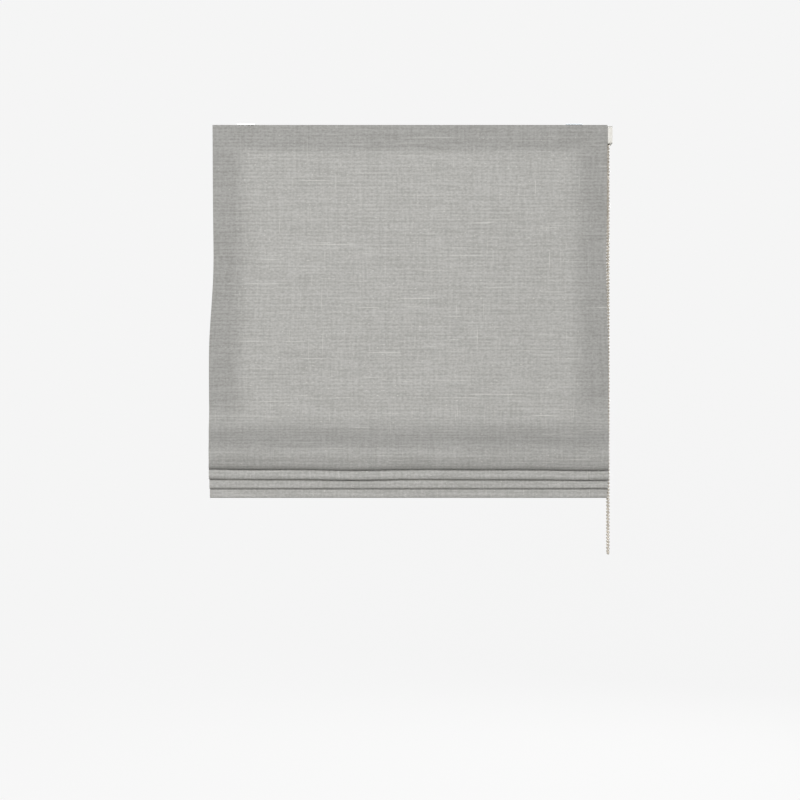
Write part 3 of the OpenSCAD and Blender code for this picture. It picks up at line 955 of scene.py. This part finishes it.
@dataclass(frozen=True)
class FoldProfile:
    """Side profile of the hung cloth: flat panel, three soft loops between gathered rods, and hem."""

    flat_y: float
    top_drop: float = 3.0
    fold_root: float = 541.0
    front_reach: float = 43.5
    fold_h: float = 88.0
    belly_drop: float = 51.0
    belly_tuck: float = 18.0
    fold_step: float = 17.7
    rod_step: float = 17.0
    crest_drop: float = 13.0
    loop_w: float = 16.0
    loop_taper: float = 4.5
    stack_f: float = 2.5
    lean_r: float = 62.0
    belly_r: float = 30.0
    front_bend: float = 19.0
    front_share: float = 0.74
    back_share: float = 0.25
    crest_share: float = 2.3
    face_t: float = 0.8
    lining_t: float = 0.4
    bond: float = 0.05
    layer_gap: float = 1.0
    slide: float = 0.3
    hem_h: float = 32.0
    hem_r: float = 2.4
    bar_t: float = 3.0
    lining_tuck: float = 4.0
    folds: int = 3

    @classmethod
    def hung_on(cls, strip_y: float) -> FoldProfile:
        """Gives the profile whose lining lies against a strip's front."""
        return cls(flat_y=strip_y - cls.face_t - cls.bond - cls.lining_t)

    @property
    def lining_front(self) -> float:
        """Distance of the lining's front behind the cloth's back."""
        return self.face_t + self.bond

    @property
    def lining_back(self) -> float:
        """Distance of the lining's back behind the cloth's back."""
        return self.lining_front + self.lining_t

    @property
    def ply(self) -> float:
        """Room that one layer of cloth, its lining and the air take."""
        return self.face_t + self.lining_back + self.layer_gap

    @property
    def crest_r(self) -> float:
        """Bend radius of the cloth over a rod's seam."""
        return self.face_t + self.layer_gap

    @property
    def belly_f(self) -> float:
        """Depth of the front loop's belly in front of the flat panel."""
        return self.stack_f + self.front_reach

    @property
    def hem_z(self) -> float:
        """Height of the bottom of the hem."""
        return self.fold_z(self.folds)

    @property
    def hem_f(self) -> float:
        """Depth of the hem's panel in front of the flat panel."""
        last = self.folds - 1
        return min(self.crest_back(last), self.fold_back(last) - self.ply)

    @property
    def pocket(self) -> float:
        """Depth of the hem's pocket for the bar."""
        return self.bar_t + 2 * (self.face_t + self.slide)

    def loop_width(self, k: int) -> float:
        """Depth of loop k from front to back."""
        return self.loop_w - self.loop_taper * k

    def fold_front(self, k: int) -> float:
        """Depth of the front of loop k."""
        return self.belly_f - self.belly_tuck if k == 0 else self.fold_back(k - 1) - self.ply

    def fold_back(self, k: int) -> float:
        """Depth of the back of loop k."""
        return self.fold_front(k) - self.loop_width(k)

    def fold_z(self, k: int) -> float:
        """Height of the bottom of loop k."""
        return -self.fold_root - self.fold_h - self.fold_step * k

    def crest_z(self, k: int) -> float:
        """Height of the crest behind loop k."""
        return -self.fold_root - self.crest_drop - self.rod_step * k

    def crest_front(self, k: int) -> float:
        """Gives the depth of the front of a crest.

        Args:
            k: Loop that the crest is behind.

        Returns:
            Depth in front of the flat panel, clear of the layer before it.
        """
        if k == 0:
            return self.stack_f + self.crest_share * self.crest_r / 2
        share = (self.crest_z(k - 1) - self.crest_z(k)) / (self.crest_z(k - 1) - self.fold_z(k))
        before = self.crest_back(k - 1)
        return before + (self.fold_front(k) - before) * share - self.ply - self.slide

    def crest_back(self, k: int) -> float:
        """Depth of the back of the crest behind loop k."""
        return self.crest_front(k) - self.crest_share * self.crest_r

    def hung(self) -> list[Point]:
        """Gives the corners from the heading to the last crest.

        Returns:
            Depth, height and bend radius of each corner.
        """
        run: list[Point] = [(0.0, -self.top_drop, 0.0), (0.0, -self.fold_root, self.lean_r),
                            (self.belly_f, -self.fold_root - self.belly_drop, self.belly_r)]
        for k in range(self.folds):
            bend = self.front_share * self.loop_width(k) if k else self.front_bend
            run += [(self.fold_front(k), self.fold_z(k), bend),
                    (self.fold_back(k), self.fold_z(k), self.back_share * self.loop_width(k)),
                    (self.crest_front(k), self.crest_z(k), self.crest_r),
                    (self.crest_back(k), self.crest_z(k), self.crest_r)]
        return run

    def face_run(self) -> list[Point]:
        """Gives the corners of the face cloth, with the hem turned up round the bar.

        Returns:
            Depth, height and bend radius of each corner.
        """
        return self.hung() + [(self.hem_f, self.hem_z, self.hem_r),
                              (self.hem_f - self.pocket, self.hem_z, self.hem_r),
                              (self.hem_f - self.pocket, self.hem_z + self.hem_h, 0.0)]

    def lining_run(self) -> list[Point]:
        """Gives the corners of the lining, which ends inside the hem."""
        return self.hung() + [(self.hem_f, self.hem_z + self.hem_h - self.lining_tuck, 0.0)]

    def stations(self, run: Sequence[Point], step: float = 7.0, arc_n: int = 12) -> list[Station]:
        """Walks a run of rounded corners.

        Args:
            run: Corners as depth, height and bend radius.
            step: Longest spacing on straight stretches.
            arc_n: Pieces of each bend.

        Returns:
            Stations from the heading down.
        """
        points = [Vector((self.flat_y - f, z)) for f, z, _ in run]
        line: list[tuple[Vector, Vector]] = []

        def straight(end: Vector) -> None:
            """Adds points from the last one to the end.

            Args:
                end: Last point to add.
            """
            begin = line[-1][0]
            way = end - begin
            if way.length < 1e-6:
                return
            side = Vector((-way.y, way.x)).normalized()
            count = max(1, math.ceil(way.length / step))
            line.extend((begin + way * (i / count), side) for i in range(1, count + 1))

        first = (points[1] - points[0]).normalized()
        line.append((points[0], Vector((-first.y, first.x))))
        for i in range(1, len(points) - 1):
            before, here, after = points[i - 1], points[i], points[i + 1]
            u, w = (before - here).normalized(), (after - here).normalized()
            half = math.acos(max(-1.0, min(1.0, u.dot(w)))) / 2
            radius = run[i][2]
            hub = here + (u + w).normalized() * (radius / math.sin(half))
            out = here + u * (radius / math.tan(half)) - hub
            way_in, way_out = here - before, after - here
            turn = 1.0 if way_in.x * way_out.y - way_in.y * way_out.x > 0 else -1.0
            straight(hub + out)
            for j in range(1, arc_n + 1):
                angle = turn * (math.pi - 2 * half) * j / arc_n
                spoke = Vector((out.x * math.cos(angle) - out.y * math.sin(angle),
                                out.x * math.sin(angle) + out.y * math.cos(angle)))
                line.append((hub + spoke, spoke.normalized() * -turn))
        straight(points[-1])
        made: list[Station] = []
        run_mm = 0.0
        for i, (point, side) in enumerate(line):
            run_mm += (point - line[i - 1][0]).length if i else 0.0
            made.append(Station(point.x, point.y, side.x, side.y, run_mm))
        return made


@dataclass(frozen=True)
class Drape:
    """How hung cloth leaves its ideal profile: uneven loops, a faint billow, edges that flare.

    A stretch is where a soft step starts and ends, in height where its name ends in z, across the width
    where it ends in x, and in depth in front of the flat panel where it ends in f. A wave has its size,
    length and phase. Flare, waist and what the belly is drawn in are shares of the place across the width.
    """

    flat_y: float
    half_w: float = 360.0
    loop_z: Stretch = (-596.0, -634.0)
    loop_f: Stretch = (-7.0, 8.0)
    bow: tuple[Point, ...] = ((0.9, 49.0, 0.7), (0.7, 23.5, 2.1), (0.5, 96.0, 0.0))
    dip: tuple[Point, ...] = ((0.5, 33.0, 1.3), (0.7, 71.0, 0.4))
    lift: float = 1.0
    lift_x: Stretch = (40.0, -330.0)
    lift_z: Stretch = (-674.0, -634.0)
    sag: float = 0.6
    sag_middle: float = 2.6
    middle_f: Stretch = (14.0, 6.0)
    sag_rear: float = 1.7
    rear_z: Stretch = (-640.0, -662.0)
    rear_in_f: Stretch = (-14.5, -7.0)
    rear_out_f: Stretch = (0.0, -6.0)
    sag_hem: float = 0.9
    hem_z: Stretch = (-666.0, -678.0)
    hem_f: Stretch = (-11.0, -15.0)
    tuck: float = 4.0
    tuck_z: Stretch = (-600.0, -628.0)
    tuck_f: Stretch = (12.0, 24.0)
    billow: float = 0.55
    billow_across: float = 118.0
    billow_down: float = 90.0
    panel_top_z: Stretch = (-40.0, -90.0)
    panel_low_z: Stretch = (-520.0, -470.0)
    panel_f: Stretch = (-3.0, -0.1)
    rod_z: float = -110.0
    rod_gap: float = 200.0
    ripple: float = 0.4
    ripple_mm: float = 41.0
    flare_left: float = 0.017
    flare_right: float = 0.0025
    flare_z: Stretch = (-240.0, -430.0)
    waist: float = 0.006
    waist_top_z: Stretch = (-60.0, -231.0)
    waist_low_z: Stretch = (-400.0, -231.0)
    drawn_in: float = 0.0085
    drawn_f: Stretch = (4.0, 44.0)

    def shift(self, x: float, y: float, z: float) -> Point:
        """Gives how far one point of the ideal profile moves.

        Args:
            x: Place across the width.
            y: Depth.
            z: Height.

        Returns:
            The shift along X, Y and Z.
        """
        forward = self.flat_y - y
        loop = smooth(*self.loop_z, z) * smooth(*self.loop_f, forward)
        bow = sum(size * math.sin(x / length + phase) for size, length, phase in self.bow)
        dip = sum(size * math.sin(x / length + phase) for size, length, phase in self.dip)
        lift = self.lift * smooth(*self.lift_x, x) * smooth(*self.lift_z, z)
        sag = loop * (self.sag + self.sag_middle * smooth(*self.middle_f, forward))
        sag += (self.sag_rear * smooth(*self.rear_z, z) * smooth(*self.rear_in_f, forward)
                * smooth(*self.rear_out_f, forward))
        sag += self.sag_hem * smooth(*self.hem_z, z) * smooth(*self.hem_f, forward)
        tuck = self.tuck * smooth(*self.tuck_z, z) * smooth(*self.tuck_f, forward)
        panel = (smooth(*self.panel_top_z, z) * smooth(*self.panel_low_z, z)
                 * smooth(*self.panel_f, forward))
        between = abs(math.sin(math.pi * (z - self.rod_z) / self.rod_gap))
        swell = 1.0 + math.sin(x / self.billow_across + z / self.billow_down)
        billow = self.billow * panel * between * swell
        flare = (self.flare_left if x < 0.0 else self.flare_right) * smooth(*self.flare_z, z)
        waist = self.waist * smooth(*self.waist_top_z, z) * smooth(*self.waist_low_z, z)
        drawn_in = self.drawn_in * smooth(*self.drawn_f, forward)
        ripple = self.ripple * math.sin(z / self.ripple_mm) * (x / self.half_w) ** 3
        return (x * (flare - waist - drawn_in) + ripple, loop * bow - billow + tuck,
                loop * (dip + lift) - sag)


@dataclass
class HungCloth:
    """Face cloth and lining: one continuous sheet each, hung from the strip and folded over the rods."""

    profile: FoldProfile
    drape: Drape
    width: float = 720.0
    side_hem: float = 50.0
    turned_hem: float = 46.0
    lining_inset: float = 20.0
    column: float = 9.0
    hem_step: float = 0.6
    crease_deg: float = 60.0
    blend_z: Stretch = (20.0, -570.0)

    def build(self) -> None:
        """Makes both sheets and dresses them."""
        half, inner = self.width / 2, self.width / 2 - self.lining_inset
        face = self.profile.stations(self.profile.face_run())
        cloth = self.sheet("face_cloth", face, self.columns(half, half - self.side_hem),
                           (-self.profile.face_t, 0.0), LINEN.material())
        lined = self.profile.stations(self.profile.lining_run())
        lining = self.sheet("lining_cloth", lined, self.columns(inner, inner),
                            (self.profile.lining_front, self.profile.lining_back), LINING.material())
        for piece, node, flat in (
                (cloth, "face_fabric", (self.width + 2 * self.side_hem, face[-1].run + self.turned_hem)),
                (lining, "lining", (2 * inner, lined[-1].run))):
            bends_with_lift(piece, self.profile.flat_y * MM, *self.blend_z)
            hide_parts(node)
            LOG.info("%s: %.0f by %.0f mm flat", piece.name, flat[0], flat[1])

    def columns(self, half: float, hem: float) -> list[tuple[float, bool]]:
        """Gives the columns across the width.

        Args:
            half: Half of the width.
            hem: Distance from the middle at which the cloth is doubled.

        Returns:
            Each column's place and whether it is in a doubled hem.
        """
        count = round(2 * hem / self.column)
        made = [(-hem + 2 * hem * i / count, False) for i in range(count + 1)]
        if hem < half:
            outer = round((half - hem) / self.column) + 1
            first = hem + self.hem_step
            right = [(first + (half - first) * i / outer, True) for i in range(outer + 1)]
            made = [(-x, True) for x, _ in reversed(right)] + made + right
        return made

    def sheet(self, name: str, stations: Sequence[Station], columns: Sequence[tuple[float, bool]],
              layers: Stretch, material: bpy.types.Material) -> bpy.types.Object:
        """Makes a closed shell of cloth from a profile and columns.

        Args:
            name: Name of the piece.
            stations: Side profile.
            columns: Places across the width and whether the cloth is doubled there.
            layers: Distance of the front and of the back face behind the profile.
            material: Finish.

        Returns:
            The cloth, with a map in metres named weave.
        """
        rows, cols = len(stations), len(columns)
        verts: list[Point] = []
        uvs: list[Stretch] = []
        for layer in layers:
            for at in stations:
                for x, doubled in columns:
                    away = layer + (self.profile.face_t if doubled and layer == layers[1] else 0.0)
                    dx, dy, dz = self.drape.shift(x, at.y, at.z)
                    verts.append(((x + dx) * MM, (at.y + at.back_y * away + dy) * MM,
                                  (at.z + at.back_z * away + dz) * MM))
                    uvs.append((x * MM, at.run * MM))
        half = rows * cols
        faces: list[tuple[int, int, int, int]] = []
        for i in range(rows - 1):
            for j in range(cols - 1):
                a, b, c, d = i * cols + j, (i + 1) * cols + j, (i + 1) * cols + j + 1, i * cols + j + 1
                faces += [(a, b, c, d), (half + d, half + c, half + b, half + a)]
            a, b = i * cols, (i + 1) * cols
            faces.append((a, half + a, half + b, b))
            a, b = a + cols - 1, b + cols - 1
            faces.append((a, b, half + b, half + a))
        for j in range(cols - 1):
            low = (rows - 1) * cols + j
            faces += [(j, j + 1, half + j + 1, half + j), (low, half + low, half + low + 1, low + 1)]
        piece = mesh_piece(name, verts, faces, material=material)
        layer_uv = piece.data.uv_layers.new(name="weave")
        for loop in piece.data.loops:
            layer_uv.data[loop.index].uv = uvs[loop.vertex_index]
        piece.data.shade_smooth()
        piece.data.set_sharp_from_angle(angle=math.radians(self.crease_deg))
        return piece


@dataclass
class BeadChain:
    """Endless pull chain: a free loop below the control and the beads that lie on its wheel."""

    bead_d: float = 4.5
    link_d: float = 1.0
    pitch: float = 6.0
    wheel_n: int = 10
    strand_n: int = 126
    path_n: int = 24

    def build(self) -> None:
        tree = self._tree()
        low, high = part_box("bead_chain")
        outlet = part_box("control_housing")[0][2]
        x, y = (low[0] + high[0]) / 2, (low[1] + high[1]) / 2
        radius = self.pitch * self.wheel_n / (2 * math.pi) * MM
        top = high[2] - radius - self.bead_d * MM / 2
        bottom = top - self.strand_n * self.pitch * MM
        heights = [top - i * self.pitch * MM for i in range(self.strand_n + 1)]
        half_n = self.wheel_n // 2
        arc = [math.pi * i / half_n for i in range(1, half_n)]
        under = [(x, y - radius * math.cos(a), bottom - radius * math.sin(a)) for a in arc]
        over = [(x, y + radius * math.cos(a), top + radius * math.sin(a)) for a in arc]
        free = [h for h in heights if h < outlet]
        inside = [h for h in heights if h >= outlet]
        loop = [(x, y - radius, h) for h in free] + under + [(x, y + radius, h) for h in reversed(free)]
        wheel = [(x, y + radius, h) for h in reversed(inside)] + over + [(x, y - radius, h) for h in inside]
        for name, points in (("bead_loop", loop), ("beads_on_wheel", wheel)):
            piece = lines_piece(name, [points])
            realise(piece, tree, {"Bead radius": self.bead_d / 2 * MM, "Link radius": self.link_d / 2 * MM,
                                  "Finish": NICKEL.material()})
            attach(piece, Body.RAIL.value)
            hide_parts("bead_chain")
            LOG.info("%s: %d beads", name, len(points))

    @staticmethod
    def _tree() -> bpy.types.NodeTree:
        """Builds the tree that threads beads on a line of points.

        Returns:
            The tree, whose line has one point for each bead.
        """
        tree, given = start_tree("bead_chain", ("Bead radius", "Link radius"))
        bead = add(tree, "GeometryNodeMeshUVSphere",
                   {"Segments": 10, "Rings": 7, "Radius": given.outputs["Bead radius"]})
        beads = add(tree, "GeometryNodeInstanceOnPoints",
                    {"Points": given.outputs["Geometry"], "Instance": bead.outputs["Mesh"]})
        line = add(tree, "GeometryNodeMeshToCurve", {"Mesh": given.outputs["Geometry"]})
        links = tube(tree, line.outputs["Curve"], given.outputs["Link radius"], sides=6)
        both = add(tree, "GeometryNodeJoinGeometry", {"Geometry": links})
        tree.links.new(beads.outputs["Instances"], both.inputs["Geometry"])
        end_tree(tree, both.outputs["Geometry"], given.outputs["Finish"])
        return tree


@dataclass
class LiftCords:
    """Three lift cords: turns wound on each spool and a drop through the rings to the cord stop."""

    cord_d: float = 1.2
    wind_r: float = 7.0
    turns: int = 12
    drop_n: int = 60
    blend_z: Stretch = (-36.0, -545.0)

    def build(self) -> None:
        """Makes each cord's turns and its drop."""
        winding, drop = self._winding(), self._drop()
        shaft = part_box("drive_shaft")
        y, z = (shaft[0][1] + shaft[1][1]) / 2, (shaft[0][2] + shaft[1][2]) / 2
        fall_y = y - self.wind_r * MM
        for side in SIDES:
            low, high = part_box(f"lift_cord_{side}")
            x = (low[0] + high[0]) / 2
            coil = lines_piece(f"lift_cord_turns_{side}", [[(x, y, z), (x, y, z - MM)]])
            realise(coil, winding, {"Cord radius": self.cord_d / 2 * MM, "Winding radius": self.wind_r * MM,
                                    "Turns": float(self.turns), "Length": self.turns * self.cord_d * MM,
                                    "Place": (x, y, z), "Finish": CORD.material()})
            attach(coil, Body.DRIVE.value)
            fall = [(x, fall_y, z + (low[2] - z) * i / self.drop_n) for i in range(self.drop_n + 1)]
            line = lines_piece(f"lift_cord_drop_{side}", [fall])
            realise(line, drop, {"Cord radius": self.cord_d / 2 * MM, "Finish": CORD.material()})
            bends_with_lift(line, fall_y, *self.blend_z)
            for piece in (coil, line):
                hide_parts(f"lift_cord_{side}")
            LOG.info("lift_cord_%s: %d turns and a drop of %.0f mm", side, self.turns, (z - low[2]) / MM)

    @staticmethod
    def _winding() -> bpy.types.NodeTree:
        """Builds the tree that winds a cord round the shaft's line.

        Returns:
            The tree, which lays its turns along X about a place.
        """
        tree, given = start_tree("cord_winding", ("Cord radius", "Winding radius", "Turns", "Length"),
                                 ("Place",))
        helix = add(tree, "GeometryNodeCurveSpiral", {
            "Resolution": 26, "Rotations": given.outputs["Turns"],
            "Start Radius": given.outputs["Winding radius"], "End Radius": given.outputs["Winding radius"],
            "Height": given.outputs["Length"]})
        half = add(tree, "ShaderNodeMath", {0: given.outputs["Length"], 1: -0.5}, operation="MULTIPLY")
        back = add(tree, "ShaderNodeCombineXYZ", {"Z": half.outputs["Value"]})
        centred = add(tree, "GeometryNodeTransform",
                      {"Geometry": helix.outputs["Curve"], "Translation": back.outputs["Vector"]})
        laid = add(tree, "GeometryNodeTransform", {
            "Geometry": centred.outputs["Geometry"], "Translation": given.outputs["Place"],
            "Rotation": (0.0, math.radians(90.0), 0.0)})
        cord = tube(tree, laid.outputs["Geometry"], given.outputs["Cord radius"], sides=8)
        end_tree(tree, cord, given.outputs["Finish"])
        return tree

    @staticmethod
    def _drop() -> bpy.types.NodeTree:
        """Builds the tree that lays a round cord along a line.

        Returns:
            The tree.
        """
        tree, given = start_tree("cord_drop", ("Cord radius",))
        line = add(tree, "GeometryNodeMeshToCurve", {"Mesh": given.outputs["Geometry"]})
        cord = tube(tree, line.outputs["Curve"], given.outputs["Cord radius"], sides=10)
        end_tree(tree, cord, given.outputs["Finish"])
        return tree


@dataclass(frozen=True)
class Seam:
    """One kind of hand or machine seam: distance between stitches, their length and the thread."""

    pitch: float
    length: float
    thread_r: float


@dataclass
class Stitching:
    """Rows of stitches at the back: along the rod tapes, up the lining's sides and along the hem."""

    cloth: HungCloth
    tape_seam: Seam = Seam(3.2, 2.2, 0.22)
    hem_seam: Seam = Seam(7.0, 3.0, 0.3)
    lining_seam: Seam = Seam(9.0, 3.4, 0.3)
    tape_edge: float = 1.6
    tape_end: float = 2.0
    tape_sink: float = 0.35
    hem_edge: float = 2.5
    hem_end: float = 4.0
    lining_edge: float = 2.0
    lining_z: Stretch = (-46.0, -520.0)
    lining_n: int = 80

    def build(self) -> None:
        """Sews the tapes, the hem and the lining."""
        tree = self._tree()
        profile, half = self.cloth.profile, self.cloth.width / 2
        for rod, body in ((1, Body.ROD_ONE), (2, Body.ROD_TWO), (3, Body.STACK)):
            low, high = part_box(f"rod_tape_{rod}")
            back, end = low[1] + self.tape_sink * MM, self.tape_end * MM
            rows = [[(low[0] + end, back, z), (high[0] - end, back, z)]
                    for z in (high[2] - self.tape_edge * MM, low[2] + self.tape_edge * MM)]
            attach(self._sew(tree, f"tape_stitches_{body.value}", rows, self.tape_seam), body.value)
        y = (profile.flat_y - profile.hem_f + profile.pocket + profile.face_t) * MM
        z = (profile.hem_z + profile.hem_h - self.hem_edge) * MM
        end = (half - self.hem_end) * MM
        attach(self._sew(tree, "hem_stitches", [[(-end, y, z), (end, y, z)]], self.hem_seam),
                Body.STACK.value)
        inner = half - self.cloth.lining_inset - self.lining_edge
        behind = profile.flat_y + profile.lining_back
        top, low_z = self.lining_z
        sides: list[list[Point]] = []
        for x in (-inner, inner):
            side: list[Point] = []
            for i in range(self.lining_n):
                z = top + (low_z - top) * i / (self.lining_n - 1)
                dx, dy, dz = self.cloth.drape.shift(x, profile.flat_y, z)
                side.append(((x + dx) * MM, (behind + dy) * MM, (z + dz) * MM))
            sides.append(side)
        sewn = self._sew(tree, "lining_stitches", sides, self.lining_seam)
        bends_with_lift(sewn, behind * MM, *self.cloth.blend_z)

    def _sew(self, tree: bpy.types.NodeTree, name: str, lines: Sequence[Sequence[Point]],
             seam: Seam) -> bpy.types.Object:
        """Lays stitches along lines.

        Args:
            tree: Stitch tree.
            name: Name of the piece.
            lines: Lines in metres.
            seam: Kind of seam.

        Returns:
            The stitches as one mesh.
        """
        piece = lines_piece(name, lines)
        realise(piece, tree, {
            "Pitch": seam.pitch * MM, "Finish": THREAD.material(),
            "Stitch": (seam.thread_r * MM, seam.thread_r * MM, seam.length / 2 * MM)})
        LOG.info("%s: %d rows", name, len(lines))
        return piece

    @staticmethod
    def _tree() -> bpy.types.NodeTree:
        """Builds the tree that sets rounded stitches along lines.

        Returns:
            The tree.
        """
        tree, given = start_tree("stitches", ("Pitch",), ("Stitch",))
        line = add(tree, "GeometryNodeMeshToCurve", {"Mesh": given.outputs["Geometry"]})
        spots = add(tree, "GeometryNodeCurveToPoints",
                    {"Curve": line.outputs["Curve"], "Length": given.outputs["Pitch"]}, mode="LENGTH")
        stitch = add(tree, "GeometryNodeMeshUVSphere", {"Segments": 6, "Rings": 5, "Radius": 1.0})
        sewn = add(tree, "GeometryNodeInstanceOnPoints", {
            "Points": spots.outputs["Points"], "Instance": stitch.outputs["Mesh"],
            "Rotation": spots.outputs["Rotation"], "Scale": given.outputs["Stitch"]})
        end_tree(tree, sewn.outputs["Instances"], given.outputs["Finish"])
        return tree


@dataclass
class Fittings:
    """Rail, brackets, drive, rods, tapes and rings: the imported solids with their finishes."""

    nodes: Mapping[str, bpy.types.Object]

    def build(self) -> None:
        """Gives each solid that stays its finish."""
        drive = [f"{piece}_{side}" for piece in ("spool", "cradle") for side in SIDES]
        finishes: tuple[tuple[Finish, Sequence[str]], ...] = (
            (ALUMINIUM, ("headrail", "bottom_bar")), (PLATED_STEEL, ("bracket_left", "bracket_right")),
            (SHAFT_STEEL, ("drive_shaft",)), (PILE, ("hook_strip", "loop_strip")),
            (NYLON, ("idle_end_cap", "control_housing", "control_cover", *drive)),
            (ACETAL, ("end_bush", "chain_wheel")),
            (CLEAR, ("cord_stops", "chain_connector", *(f"cord_rings_{rod}" for rod in RODS))),
            (FIBREGLASS, [f"rod_{rod}" for rod in RODS]), (TAPE, [f"rod_tape_{rod}" for rod in RODS]))
        for finish, names in finishes:
            for name in names:
                slots = self.nodes[name].data.materials
                slots.clear()
                slots.append(finish.material())
                LOG.info("%s: %s", name, finish.label)


def main() -> None:
    """Builds the stage and each sub-assembly in order."""
    logging.basicConfig(level=logging.INFO, format="%(message)s")
    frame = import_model()
    profile = FoldProfile.hung_on(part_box("loop_strip")[0][1] / MM)
    Stage(flat_y=profile.flat_y * MM).build()
    BeadChain().build()
    LiftCords().build()
    cloth = HungCloth(profile, Drape(flat_y=profile.flat_y))
    cloth.build()
    Stitching(cloth).build()
    Fittings(frame["nodes"]).build()


if __name__ == "__main__":
    main()
